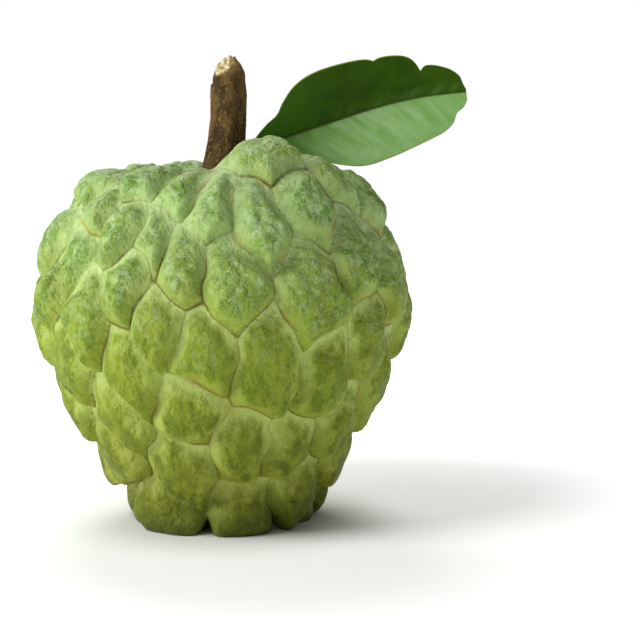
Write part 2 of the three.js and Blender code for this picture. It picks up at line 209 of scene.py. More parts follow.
# The floor glows more with the distance from the axis, so that it ends in white: two ramps, each from
# one distance to another and from one strength to another. It glows least round the fruit's foot, which
# paints a darker shadow there.
FLOOR_GLOW_NEAR = (0.02, 0.045, 0.0, 0.27)
FLOOR_GLOW_FAR = (0.05, 0.2, 0.0, 0.55)
WORLD_LIGHT = 0.21  # what the surroundings give; the camera sees them as white
# Lights, as (name, place, aim, width, power).
LIGHTS = (
    ("key", (-0.5, -0.36, 0.66), (0, 0, 0.05), 0.4, 4.5),
    ("fill", (-0.66, -0.16, 0.05), (0, 0, 0.03), 0.5, 3.7),
    ("back", (-0.1, 0.5, 0.6), (0.02, 0, 0.07), 0.4, 2.6),
)


def smooth(low, high, x):
    """0 at low, 1 at high, and an S-shaped run between."""
    t = np.clip((np.asarray(x, float) - low) / (high - low), 0, 1)
    return t * t * (3 - 2 * t)


def draw(n):
    """A repeatable draw from 0 to 1 for the whole number n, as in the solids."""
    x = np.sin(np.asarray(n) * 12.9898 + 4.1414) * 43758.5453
    return x - np.floor(x)


def grain(points, width, seed=0):
    """Smooth noise from about -1 to 1 at each point, with lumps of this width."""
    shifted = points / width + seed * 17.3
    return np.array([noise.noise(Vector(p)) for p in shifted])


def bumps(points, kinds):
    """Noise added up from kinds given as (height, width, how far heights count, seed)."""
    return sum(
        height * grain(points * (1, 1, upward), width, seed) for height, width, upward, seed in kinds
    )


def noise_vectors(points, width, seeds):
    """Three smooth noises at each point, as a vector."""
    return np.stack([grain(points, width, seed) for seed in seeds], 1)


def catmull_rom(points, steps):
    """The uniform Catmull-Rom curve through the points, with this many steps in each span."""
    p = np.array(points, float)
    before = np.vstack([p[:1], p[:-2]])
    after = np.vstack([p[2:], p[-1:]])
    spans = []
    for i in range(len(p) - 1):
        t = np.linspace(0, 1, steps, endpoint=False)[:, None]
        v0 = (p[i + 1] - before[i]) / 2
        v1 = (after[i] - p[i]) / 2
        cubic = 2 * p[i] - 2 * p[i + 1] + v0 + v1
        square = -3 * p[i] + 3 * p[i + 1] - 2 * v0 - v1
        spans.append(cubic * t ** 3 + square * t ** 2 + v0 * t + p[i])
    return np.vstack(spans + [p[-1:]])


def make_object(name, points, faces, attributes, material):
    """A smooth-shaded mesh object from points in millimetres, with its vertex attributes."""
    mesh = bpy.data.meshes.new(name)
    mesh.from_pydata((points * MM).tolist(), [], [list(face) for face in faces])
    for key, values in attributes.items():
        attribute = mesh.attributes.new(key, "FLOAT", "POINT")
        attribute.data.foreach_set("value", np.asarray(values, np.float32).ravel())
    mesh.shade_smooth()
    mesh.materials.append(material)
    piece = bpy.data.objects.new(name, mesh)
    bpy.context.scene.collection.objects.link(piece)
    return piece


# The fruit's surface


class Outline:
    """The outline by the length along it, with places on the surface that it turns out."""

    def __init__(self):
        curve = catmull_rom(FRUIT_OUTLINE, OUTLINE_STEPS)
        steps = np.diff(curve, axis=0)
        self.arc = np.concatenate([[0], np.cumsum(np.hypot(*steps.T))])
        self.r, self.z = curve.T
        runs = np.hypot(steps[:, 0], HEIGHT_SHARE * steps[:, 1])
        spread = np.cumsum(runs * (self.r[1:] + self.r[:-1]) / 2)
        self.spread = np.concatenate([[0], spread])
        self.length = self.arc[-1]

    def radius(self, arc):
        return np.interp(arc, self.arc, self.r)

    def at(self, turn, arc):
        r = self.radius(arc)
        z = np.interp(arc, self.arc, self.z)
        return np.stack([r * np.sin(turn), -r * np.cos(turn), z], -1)

    def directions(self, turn, arc):
        """Unit vectors round the axis and down the outline."""
        ahead = self.at(turn, np.minimum(arc + 0.5, self.length))
        behind = self.at(turn, np.maximum(arc - 0.5, 0))
        south = ahead - behind
        south /= np.linalg.norm(south, axis=-1, keepdims=True)
        east = np.stack([np.cos(turn), np.sin(turn), np.zeros_like(turn)], -1)
        return east, south

    def arc_at_height(self, z):
        top = int(np.argmax(self.z))
        below = np.nonzero(self.z[top:] <= z)[0]
        return self.arc[top + below[0]]


def squeezed(points):
    """Points with their heights counted less, which the carpels are spaced by."""
    return points * np.array([1, 1, HEIGHT_SHARE])


def place_seats(outline):
    """The turn and length of each carpel's middle: the front ones, then those by rule."""
    front = np.array([(math.radians(t), outline.arc_at_height(z)) for t, z in FRONT_SEATS])
    front_points = squeezed(outline.at(*front.T))
    number = np.arange(SPIRAL_SEATS)
    turns = number * GOLDEN_ANGLE
    shares = (number + 0.5) / SPIRAL_SEATS * outline.spread[-1]
    arcs = np.interp(shares, outline.spread, outline.arc)
    points = squeezed(outline.at(turns, arcs))
    nearest = np.linalg.norm(points[:, None] - front_points[None], axis=2).min(1)
    keep = (arcs > STEM_HOLLOW_ARC) & (arcs < outline.length - BASE_ARC)
    keep &= nearest > CLEAR_OF_FRONT
    seats = np.vstack([front, np.stack([turns[keep], arcs[keep]], 1), [[0, outline.length]]])
    for _ in range(SETTLE_ROUNDS):
        points = squeezed(outline.at(*seats.T))
        settled = seats.copy()
        for k in range(len(front), len(seats) - 1):
            away = points[k] - points
            distance = np.linalg.norm(away, axis=1)
            near = (distance > 1e-6) & (distance <= SETTLE_REACH)
            share = (SETTLE_REACH - distance[near]) / distance[near] * SETTLE_SHARE
            push = (away[near] * share[:, None]).sum(0) / (1, 1, HEIGHT_SHARE)
            east, south = outline.directions(seats[k, 0], seats[k, 1])
            settled[k, 0] += push @ east / max(outline.radius(seats[k, 1]), 1)
            settled[k, 1] = np.clip(
                seats[k, 1] + push @ south, STEM_HOLLOW_ARC, outline.length - BASE_ARC
            )
        seats = settled
    return seats


def geodesic(splits):
    """Unit points and triangles of an icosahedron whose edges are cut into this many."""
    grid = bmesh.new()
    bmesh.ops.create_icosphere(grid, subdivisions=1, radius=1)
    bmesh.ops.subdivide_edges(grid, edges=grid.edges[:], cuts=splits - 1, use_grid_fill=True)
    grid.verts.index_update()
    points = np.array([v.co[:] for v in grid.verts])
    faces = np.array([[v.index for v in f.verts] for f in grid.faces])
    grid.free()
    return points / np.linalg.norm(points, axis=1, keepdims=True), faces


def carpels(points, seats_at):
    """For each squeezed point: its carpel, the one beyond the nearest crease, the distance
    from that crease, and the same rounded off at corners."""
    squares = ((points[:, None] - seats_at[None]) ** 2).sum(2)
    own = squares.argmin(1)
    rows = np.arange(len(points))
    apart = np.linalg.norm(seats_at[own][:, None] - seats_at[None], axis=2)
    apart[rows, own] = np.inf
    distance = (squares - squares[rows, own][:, None]) / (2 * apart)
    distance[rows, own] = np.inf
    other = distance.argmin(1)
    crease = distance[rows, other]
    powers = np.maximum(distance, 1e-4) ** -float(CORNER_ROUNDING)
    rounded = powers.sum(1) ** (-1 / CORNER_ROUNDING)
    return own, other, crease, rounded


def onto_creases(directions, faces, own, crease):
    """Moves the nearer end of each edge that crosses a crease onto that crease."""
    edges = np.vstack([faces[:, [0, 1]], faces[:, [1, 2]], faces[:, [2, 0]]])
    edges = edges[edges[:, 0] < edges[:, 1]]
    a, b = edges[own[edges[:, 0]] != own[edges[:, 1]]].T
    share = crease[a] / np.maximum(crease[a] + crease[b], 1e-9)
    near = np.where(share < 0.5, a, b)
    far = np.where(share < 0.5, b, a)
    share = np.minimum(share, 1 - share)
    longest_first = np.argsort(-share)
    near, far, share = near[longest_first], far[longest_first], share[longest_first]
    moved = directions.copy()
    moved[near] = directions[near] + (directions[far] - directions[near]) * share[:, None]
    return moved / np.linalg.norm(moved, axis=1, keepdims=True)


def make_fruit(material):
    """The skin: a fine net over the outline, drawn onto the creases and then swollen."""
    outline = Outline()
    seats = place_seats(outline)
    seats_at = squeezed(outline.at(*seats.T))
    directions, faces = geodesic(FRUIT_EDGE_SPLITS)

    def creased(directions):
        turn = np.arctan2(directions[:, 0], -directions[:, 1])
        arc = np.arccos(np.clip(directions[:, 2], -1, 1)) / math.pi * outline.length
        base = outline.at(turn, arc)
        stray = noise_vectors(base, CREASE_WANDER["length"], (1, 2, 3)) * CREASE_WANDER["far"] * 2
        return turn, arc, base, carpels(squeezed(base + stray), seats_at)

    turn, arc, base, (own, other, crease, rounded) = creased(directions)
    directions = onto_creases(directions, faces, own, crease)
    turn, arc, base, (own, other, crease, rounded) = creased(directions)
    east, south = outline.directions(turn, arc)
    outward = np.cross(south, east)
    outward /= np.linalg.norm(outward, axis=1, keepdims=True)

    below = np.clip((arc - seats[own, 1]) / SLOPE_REACH, -1, 1)
    lower = smooth(*LOWER_END, below)
    slope = UPPER_SLOPE + (LOWER_SLOPE - UPPER_SLOPE) * lower
    inward = np.clip((rounded - CREASE_FLAT) / slope, 0, 1)
    steep = 1 - (1 - inward) ** LOWER_BULGE
    gentle = smooth(0, 1, inward)
    dome = gentle + (steep - gentle) * lower
    size = 1 + SWELL_SPREAD * (2 * draw(own) - 1)
    body = smooth(*BODY, rounded)
    swell = SWELL * size * dome
    swell += CROWN["height"] * (smooth(*CROWN["reach"], rounded) - 0.5) * body
    swell += TILT["height"] * below * smooth(CREASE_FLAT, TILT["fade"], rounded)
    swell += FOOT_SWELL["height"] * smooth(*FOOT_SWELL["fade"], base[:, 2]) * body
    swell -= CREASE_SINK["depth"] * (1 - smooth(0, CREASE_SINK["reach"], rounded))
    for k, (height, width) in enumerate(SKIN_BUMPS):
        lumps = grain(base * (1, 1, NOISE_HEIGHT_SHARE), width, 5 + k)
        swell += height * lumps * (BUMPS_IN_CREASE + (1 - BUMPS_IN_CREASE) * body)
    wrinkled = WRINKLE["least"] + (1 - WRINKLE["least"]) * smooth(*WRINKLE["heights"], base[:, 2])
    bent = base + WRINKLE["bend"] * noise_vectors(base, WRINKLE["bend_width"], (11, 12, 13))
    folds = np.minimum(np.abs(grain(bent, WRINKLE["width"], 9)), WRINKLE["flat"])
    swell -= WRINKLE["depth"] * (WRINKLE["middle"] - folds) * wrinkled * body
    share = arc / outline.length
    radius = np.hypot(base[:, 0], base[:, 1])
    shown = np.where(share < 0.5, smooth(*HOLLOW_BARE, radius), 1)
    points = base + outward * (swell * shown)[:, None]
    away = np.hypot(points[:, 0] - SHOULDER["x"], points[:, 1] - SHOULDER["y"])
    lift = SHOULDER["lift"] * np.exp(-((away / SHOULDER["reach"]) ** 2) / 2) * shown
    points[:, 2] += lift * (1 - smooth(*SHOULDER["fade"], share))
    points[:, 2] = np.maximum(points[:, 2], 0)
    below_other = np.clip((arc - seats[other, 1]) / SLOPE_REACH, -1, 1)
    attributes = {
        "crease": np.where(shown > 0.5, crease, NO_CREASE),
        "rounded": rounded,
        "level": below,
        "ledge": np.maximum(below, below_other),
        "tone": draw(own + 31),
        "height": points[:, 2] / SKIN_HEIGHT,
        "hollow": smooth(*reversed(CORKY_RING), radius) * (share < 0.5),
    }
    return make_object("fruit_skin", points, faces, attributes, material)


# The stem


def make_stem(material):
    """The stem: rings from its foot upwards, over the torn lip and in to the middle."""
    stations = np.array(STEM_STATIONS)
    foot, top = stations[0, 2], stations[-1, 2]
    rise = SNAPPED_END["rise"]
    angles = np.arange(STEM_SIDES) / STEM_SIDES * 2 * math.pi
    torn = rise + SNAPPED_END["slope"] * np.cos(angles - math.radians(SNAPPED_END["turn"]))
    rings = []
    torn_rings = []

    def ring(z, shrink, lift, torn_share, lean=0.0):
        x, y, radius = (np.interp(z, stations[:, 2], stations[:, k]) for k in (0, 1, 3))
        r = (radius + STEM_RIDGES["height"] * np.cos(STEM_RIDGES["count"] * angles)) * shrink
        rings.append(np.stack([x + lean + r * np.cos(angles), y + r * np.sin(angles), z + lift], 1))
        torn_rings.append(np.full(STEM_SIDES, torn_share))

    for z in np.linspace(foot, top, STEM_RINGS):
        ring(z, 1.0, np.zeros(STEM_SIDES), 0)
    for share in np.linspace(*LIP_RINGS):
        narrowing, lean = (SNAPPED_END[key] * share ** 2 for key in ("narrowing", "lean"))
        ring(top, 1 - narrowing, torn * share, LIP_TORN * share, lean)
    for share in np.linspace(*CUP_RINGS):
        drop = SNAPPED_END["cup"] * smooth(0, 1, share)
        inner = (1 - SNAPPED_END["narrowing"]) * (1 - share)
        ring(top, inner, torn * (1 - share) + (rise - drop) * share, 1, SNAPPED_END["lean"])
    points = np.vstack(rings)
    torn_share = np.concatenate(torn_rings)
    axis = np.stack([
        np.interp(points[:, 2], stations[:, 2], stations[:, 0]),
        np.interp(points[:, 2], stations[:, 2], stations[:, 1]),
        points[:, 2],
    ], 1)
    radial = points - axis
    radial /= np.maximum(np.linalg.norm(radial, axis=1, keepdims=True), 1e-6)
    bark = bumps(points, BARK_BUMPS)
    left = np.clip(-radial[:, 0], 0, 1)
    bark -= STEM_SET_IN["depth"] * left * smooth(*STEM_SET_IN["heights"], points[:, 2])
    shaped = points + radial * (bark * (1 - smooth(*BARK_ENDS, torn_share)))[:, None]
    fibres = bumps(points, SPLINTERS)
    shaped[:, 2] += SNAPPED_END["splinter"] * fibres * smooth(*SPLINTERS_BEGIN, torn_share)
    i = np.arange(len(rings) - 1)[:, None] * STEM_SIDES
    k = np.arange(STEM_SIDES)[None]
    after = (k + 1) % STEM_SIDES
    quads = np.stack([i + k, i + after, i + after + STEM_SIDES, i + k + STEM_SIDES], -1)
    last = (len(rings) - 1) * STEM_SIDES
    foot_face = list(range(STEM_SIDES))[::-1]
    end_face = list(range(last, last + STEM_SIDES))
    faces = quads.reshape(-1, 4).tolist() + [foot_face, end_face]
    pale = smooth(*PALE_WOOD["torn"], torn_share)
    pale = pale * smooth(*PALE_WOOD["across"], points[:, 0] - axis[:, 0])
    attributes = {
        "level": (points[:, 2] - foot) / (top - foot),
        "torn": torn_share,
        "pale": pale,
    }
    return make_object("stem_bark", shaped, faces, attributes, material)


# The leaf


def half_width(share, side):
    """The half-width on one side (1 upper, -1 lower) at shares of the leaf's length."""
    curve = catmull_rom(LEAF_UPPER if side > 0 else LEAF_LOWER, EDGE_STEPS)
    plain = np.interp(share, curve[:, 0], curve[:, 1])
    for notch in NOTCHES:
        if notch["side"] == side:
            plain = plain - notch["depth"] * np.exp(-np.abs(share - notch["at"]) / notch["reach"])
    return np.maximum(plain, LEAF_LEAST_WIDTH)


def make_leaf(material):
    """The leaf: a front and a back in rows along the midrib, joined round the edge."""
    curve = catmull_rom(MIDRIB, MIDRIB_STEPS)
    steps = np.linalg.norm(np.diff(curve, axis=0), axis=1)
    run = np.concatenate([[0], np.cumsum(steps)])
    length = run[-1]

    def midrib(share):
        at = np.clip(share, 0, 1) * length
        return np.stack([np.interp(at, run, curve[:, k]) for k in range(3)], 1)

    share = np.linspace(0, 1, LEAF_STEPS + 1)
    origin = midrib(share)
    along = midrib(share + MIDRIB_AHEAD) - midrib(share - MIDRIB_AHEAD)
    along /= np.linalg.norm(along, axis=1, keepdims=True)
    up = np.array([0, 0, 1]) - along * along[:, 2:]
    up /= np.linalg.norm(up, axis=1, keepdims=True)
    face = np.cross(up, along)
    fold = math.radians(LEAF_FOLD)
    columns = np.linspace(-1, 1, 2 * LEAF_ACROSS + 1)
    columns = np.sign(columns) * np.abs(columns) ** LEAF_CROWDING
    width = np.where(
        columns[None] >= 0, half_width(share, 1)[:, None], half_width(share, -1)[:, None]
    ) * np.abs(columns)[None]
    side = np.sign(columns)[None] * np.ones_like(width)
    run_mm = share[:, None] * length * np.ones_like(width)
    # veins leave the midrib and slant towards the tip
    phase = (run_mm - VEIN_SLANT * width) / VEIN_SPACING + VEIN_SHIFT * (side > 0)
    vein = np.abs(phase - np.round(phase)) * VEIN_SPACING
    groove = np.exp(-((vein / VEIN_WIDTH) ** 2)) * smooth(*VEIN_FADE, width)
    soft = 0.5 - 0.5 * np.cos(2 * math.pi * phase)
    along_veins = np.stack(
        [phase * VEIN_SPACING, width / STREAK_STRETCH, side * STREAK_SHIFT], -1
    ).reshape(-1, 3)
    streak = bumps(along_veins, STREAKS)
    lift = width * math.sin(fold) - LEAF_CURL * width ** 2
    front = (
        origin[:, None]
        + up[:, None] * (side * width * math.cos(fold))[..., None]
        - face[:, None] * lift[..., None]
    )
    flat = front.reshape(-1, 3)
    waves = grain(flat, LEAF_RIPPLE["width"], 8).reshape(width.shape)
    ripple = LEAF_RIPPLE["height"] * waves * smooth(*LEAF_RIPPLE["fade"], width)
    quilt = QUILTING["height"] * soft * smooth(*QUILTING["fade"], width)
    relief = ripple + quilt - VEIN_DEPTH * groove
    relief -= MIDRIB_GROOVE["depth"] * np.exp(-((width / MIDRIB_GROOVE["width"]) ** 2))
    shaped = front - face[:, None] * relief[..., None]
    rib = np.interp(share, (0, 1), RIB_HEIGHT)[:, None]
    edge = half_width(share, 1)[:, None] * RIB_SHARE
    ridge = np.clip(1 - width / np.maximum(edge, RIB_LEAST_WIDTH), 0, 1) ** RIB_ROUNDING
    thinning = EDGE_THINNING["share"] * smooth(EDGE_THINNING["from"], 1, np.abs(columns))
    behind = LEAF_THICKNESS * (1 - thinning[None]) + rib * ridge
    behind = behind + VEIN_BACK_HEIGHT * groove - ripple
    back = front + face[:, None] * behind[..., None]
    rows, cols = width.shape
    points = np.vstack([shaped.reshape(-1, 3), back.reshape(-1, 3)])
    i = np.arange(rows - 1)[:, None] * cols
    k = np.arange(cols - 1)[None]
    near = np.stack([i + k, i + k + cols, i + k + cols + 1, i + k + 1], -1).reshape(-1, 4)
    total = rows * cols
    far = near[:, ::-1] + total
    r = np.arange(rows - 1) * cols
    low = np.stack([r, r + total, r + cols + total, r + cols], 1)
    high = np.stack([r, r + cols, r + cols + total, r + total], 1) + cols - 1
    c = np.arange(cols - 1)
    start = np.stack([c, c + 1, c + 1 + total, c + total], 1)
    last = (rows - 1) * cols
    end = np.stack([c, c + total, c + 1 + total, c + 1], 1) + last
    faces = np.vstack([near, far, low, high, start, end])
    on_front = {
        "side": side,
        "width": width,
        "edge": np.abs(columns)[None] * np.ones_like(width),
        "run": share[:, None] * np.ones_like(width),
        "vein": vein,
        "streak": streak,
    }
    attributes = {key: np.tile(values.ravel(), 2) for key, values in on_front.items()}
    attributes["back"] = np.repeat((0, 1), total)
    return make_object("leaf_blade", points, faces, attributes, material)


# Materials


def srgb(red, green, blue):
    """A colour given as 0 to 255 on screen, as the linear values that the shader takes."""
    screen = np.array([red, green, blue]) / 255
    linear = np.where(screen <= 0.04045, screen / 12.92, ((screen + 0.055) / 1.055) ** 2.4)
    return (*linear.tolist(), 1.0)


class Nodes:
    """Short names for the nodes that the materials are made of."""

    def __init__(self, name):
        self.material = bpy.data.materials.new(name)
        self.material.use_nodes = True
        self.tree = self.material.node_tree
        self.shader = self.tree.nodes["Principled BSDF"]

    def link(self, value, socket):
        if isinstance(value, bpy.types.NodeSocket):
            self.tree.links.new(value, socket)
        else:
            socket.default_value = value

    def attribute(self, name):
        node = self.tree.nodes.new("ShaderNodeAttribute")
        node.attribute_name = name
        return node.outputs["Fac"]

    def place(self):
        return self.tree.nodes.new("ShaderNodeTexCoord").outputs["Object"]

    def stretched(self, vector, scale):
        node = self.tree.nodes.new("ShaderNodeMapping")
        self.link(vector, node.inputs["Vector"])
        node.inputs["Scale"].default_value = scale
        return node.outputs["Vector"]

    def noise(self, vector, width, detail=2.0, roughness=0.5):
        """Noise from 0 to 1 whose lumps have this width in millimetres."""
        node = self.tree.nodes.new("ShaderNodeTexNoise")
        self.link(vector, node.inputs["Vector"])
        node.inputs["Scale"].default_value = 1 / (width * MM)
        node.inputs["Detail"].default_value = detail
        node.inputs["Roughness"].default_value = roughness
        return node.outputs["Fac"]

    def cells(self, vector, width):
        node = self.tree.nodes.new("ShaderNodeTexVoronoi")
        self.link(vector, node.inputs["Vector"])
        node.inputs["Scale"].default_value = 1 / (width * MM)
        return node.outputs["Distance"]

    def ramp(self, value, low, high, to_low=0.0, to_high=1.0):
        node = self.tree.nodes.new("ShaderNodeMapRange")
        node.interpolation_type = "SMOOTHSTEP"
        self.link(value, node.inputs["Value"])
        node.inputs["From Min"].default_value = low
        node.inputs["From Max"].default_value = high
        node.inputs["To Min"].default_value = to_low
        node.inputs["To Max"].default_value = to_high
        return node.outputs["Result"]

    def math(self, operation, a, b=0.0):
        node = self.tree.nodes.new("ShaderNodeMath")
        node.operation = operation
        self.link(a, node.inputs[0])
        self.link(b, node.inputs[1])
        return node.outputs["Value"]

    def mix(self, factor, a, b):
        node = self.tree.nodes.new("ShaderNodeMix")
        node.data_type = "RGBA"
        self.link(factor, node.inputs["Factor"])
        self.link(a, node.inputs["A"])
        self.link(b, node.inputs["B"])
        return node.outputs["Result"]

    def bump(self, height, distance, normal=None):
        """A normal bent by a height from 0 to 1 that stands for this many millimetres."""
        node = self.tree.nodes.new("ShaderNodeBump")
        node.inputs["Strength"].default_value = 1.0
        node.inputs["Distance"].default_value = distance * MM
        self.link(height, node.inputs["Height"])
        if normal is not None:
            self.link(normal, node.inputs["Normal"])
        return node.outputs["Normal"]

    def finish(self, color, roughness, normal, **sockets):
        self.link(color, self.shader.inputs["Base Color"])
        self.link(roughness, self.shader.inputs["Roughness"])
        self.link(normal, self.shader.inputs["Normal"])
        for name, value in sockets.items():
            self.shader.inputs[name.replace("_", " ")].default_value = value
        return self.material


# Colours of the skin, for the top of the fruit, its middle and its foot. The lighter top and darker
# foot are partly the skin's own colour and partly painted light and shade from above.
TOP_GREEN = srgb(150, 180, 104)
LIGHT_GREEN = srgb(142, 158, 40)
OLIVE = srgb(136, 144, 30)
TOP_DEEP = srgb(100, 138, 44)
FRESH_GREEN = srgb(88, 112, 0)
LOW_DEEP = srgb(80, 92, 2)
TOP_RIM = srgb(184, 207, 142)
RIM = srgb(180, 198, 110)
LOW_RIM = srgb(174, 184, 92)
BRIGHT_GREEN = srgb(124, 160, 36)
FOOT_SHADE = srgb(56, 68, 6)
BLOOM_AND_SHEEN = srgb(180, 206, 160)
CREASE_BROWN_AND_SHADE = srgb(96, 92, 28)
GOLDEN = srgb(172, 162, 70)
SPECK = srgb(84, 96, 40)
CORK = srgb(128, 98, 60)

BARK_DARK = srgb(60, 44, 18)
BARK_LIGHT = srgb(94, 72, 34)
BARK_STREAK = srgb(40, 28, 8)
BARK_GRIT = srgb(146, 116, 66)
BARK_FOOT = srgb(112, 66, 28)
DRY_LIGHT = srgb(156, 130, 80)
DRY_DARK = srgb(96, 72, 34)
WOOD_PALE = srgb(232, 222, 184)
WOOD_DARK = srgb(178, 154, 86)

# Colours of the leaf: its two halves above, and its back. The lower half's lighter greens are a painted
# sheen of the white surroundings, with painted highlight streaks.
UPPER_DARK = srgb(36, 66, 0)
UPPER_LIGHT = srgb(50, 80, 2)
UPPER_BASE = srgb(66, 112, 22)
UPPER_SHEEN = srgb(88, 126, 52)
LOWER_SHEEN_DARK = srgb(124, 166, 92)
LOWER_SHEEN_LIGHT = srgb(142, 182, 114)
LOWER_PAINTED_HIGHLIGHT = srgb(176, 206, 158)
LOWER_STREAK = srgb(104, 150, 66)
LOWER_BASE = srgb(96, 138, 58)
LOWER_TIP = srgb(116, 162, 84)
LEAF_EDGE = srgb(140, 162, 50)
MIDRIB_GREEN = srgb(56, 74, 20)
BACK_DARK = srgb(126, 156, 96)
BACK_LIGHT = srgb(146, 172, 116)
BACK_VEIN = srgb(176, 190, 130)
BACK_RIB = srgb(176, 180, 110)

FLOOR_WHITE = srgb(240, 241, 239)


def by_height(n, height, low, middle, top):
    """A colour that runs from one to the next from the foot of the fruit to its top."""
    colour = n.mix(n.ramp(height, 0.08, 0.5), low, middle)
    return n.mix(n.ramp(height, 0.5, 0.92), colour, top)


def skin_material():
    """Green skin: mottled deeper middles, pale rims, whitish bloom with painted sheen towards the top,
    and brown creases with painted shade under the carpels' lower ends.
    """
    n = Nodes("custard apple skin")
    place = n.place()
    crease = n.attribute("crease")
    rounded = n.attribute("rounded")
    level = n.attribute("level")
    height = n.attribute("height")
    tone = n.attribute("tone")
    broad = n.noise(place, SKIN_GRAIN["broad"], 2.0)
    long = n.stretched(place, (1, 1, 0.6))
    blotch = n.noise(long, SKIN_GRAIN["blotch"], 4.0, 0.6)
    stipple = n.noise(long, SKIN_GRAIN["stipple"], 4.0, 0.7)
    leather = n.noise(place, SKIN_GRAIN["leather"], 4.0, 0.6)
    fine = n.noise(place, SKIN_GRAIN["fine"], 3.0, 0.6)
    folds = n.noise(n.stretched(place, (1, 1, 0.8)), SKIN_GRAIN["folds"], 3.0, 0.5)
    folds = n.math("ABSOLUTE", n.math("SUBTRACT", folds, 0.5))
    frayed = n.math("ADD", rounded, n.math("MULTIPLY", n.math("SUBTRACT", blotch, 0.5), 5.0))
    frayed = n.math("MULTIPLY", frayed, n.ramp(height, 0.25, 0.65, 0.72, 1.0))
    inside = n.ramp(frayed, 0.6, 2.8)
    # Lighter towards the top, darker towards the foot: partly the skin's own colour, partly painted
    # shade as light from above would give.
    body = by_height(n, height, OLIVE, LIGHT_GREEN, TOP_GREEN)
    body = n.mix(n.ramp(broad, 0.4, 0.62, 0.0, 0.4), body, OLIVE)
    deep = by_height(n, height, LOW_DEEP, FRESH_GREEN, TOP_DEEP)
    mottled = n.math("ADD", n.math("MULTIPLY", blotch, 0.66), n.math("MULTIPLY", stipple, 0.34))
    body = n.mix(n.math("MULTIPLY", inside, n.ramp(height, 0.8, 0.3, 0.1, 0.4)), body, deep)
    patches = n.math("MULTIPLY", n.ramp(mottled, 0.45, 0.55), n.ramp(inside, 0, 1, 0.15, 1.0))
    patches = n.math("MULTIPLY", patches, n.ramp(tone, 0, 1, 0.4, 0.9))
    patches = n.math("MULTIPLY", patches, n.ramp(level, -0.7, 0.3, 0.45, 1.0))
    colour = n.mix(patches, body, deep)
    fresh = n.ramp(n.noise(long, SKIN_GRAIN["fresh"], 3.0, 0.6), 0.52, 0.64, 0.0, 0.6)
    fresh = n.math("MULTIPLY", fresh, inside)
    fresh = n.math("MULTIPLY", fresh, n.ramp(level, -0.5, 0.5))
    fresh = n.math("MULTIPLY", fresh, n.ramp(height, 0.3, 0.6))
    colour = n.mix(fresh, colour, BRIGHT_GREEN)
    # Whitish bloom, partly the skin's own and partly painted sheen. It grows towards the top and also
    # runs along the folds there.
    bloom_and_sheen_mask = n.ramp(n.noise(place, SKIN_GRAIN["bloom_and_sheen_mask"], 4.0, 0.66), 0.48, 0.64)
    bloom_and_sheen_mask = n.math("MULTIPLY", n.math("MULTIPLY", bloom_and_sheen_mask, inside), n.ramp(height, 0.35, 0.95, 0.03, 0.5))
    colour = n.mix(bloom_and_sheen_mask, colour, BLOOM_AND_SHEEN)
    net = n.math("MULTIPLY", n.ramp(folds, 0.03, 0.0), n.ramp(height, 0.4, 0.9, 0.0, 0.5))
    colour = n.mix(n.math("MULTIPLY", net, inside), colour, BLOOM_AND_SHEEN)
    rim = n.math("MULTIPLY", n.ramp(frayed, 2.4, 0.2), n.ramp(level, 0.9, -0.6, 0.15, 0.95))
    colour = n.mix(rim, colour, by_height(n, height, LOW_RIM, RIM, TOP_RIM))
    ripe = n.ramp(n.noise(place, SKIN_GRAIN["ripe"], 1.0), 0.53, 0.68)
    ripe = n.math("MULTIPLY", n.ramp(crease, 0.8, 0.15), ripe)
    colour = n.mix(n.math("MULTIPLY", ripe, 0.6), colour, GOLDEN)
    # Brown lines in the creases, with painted shade: darkest under a carpel's lower end, where its
    # ledge would cast a shadow.
    crease_line_and_shade = n.math("MULTIPLY", n.ramp(crease, 0.35, 0.05), n.ramp(broad, 0.36, 0.58, 0.3, 0.9))
    crease_line_and_shade = n.math("MULTIPLY", crease_line_and_shade, n.ramp(n.attribute("ledge"), 0.0, 0.8, 0.4, 0.9))
    colour = n.mix(crease_line_and_shade, colour, CREASE_BROWN_AND_SHADE)
    corky = n.math("MULTIPLY", n.attribute("hollow"), n.ramp(blotch, 0.4, 0.6, 0.5, 1.0))
    colour = n.mix(corky, colour, CORK)
    colour = n.mix(n.ramp(height, 0.12, 0.01, 0.0, 0.6), colour, FOOT_SHADE)
    specks = n.ramp(n.cells(place, SKIN_GRAIN["specks"]), 0.22, 0.1, 0.0, 0.5)
    colour = n.mix(n.math("MULTIPLY", specks, inside), colour, SPECK)
    normal = n.bump(blotch, SKIN_RELIEF["blotch"])
    normal = n.bump(n.ramp(folds, 0.0, 0.16), SKIN_RELIEF["folds"], normal)
    normal = n.bump(leather, SKIN_RELIEF["leather"], normal)
    normal = n.bump(fine, SKIN_RELIEF["fine"], normal)
    roughness = n.ramp(fine, 0.3, 0.7, 0.5, 0.7)
    return n.finish(colour, roughness, normal, Specular_IOR_Level=0.22)


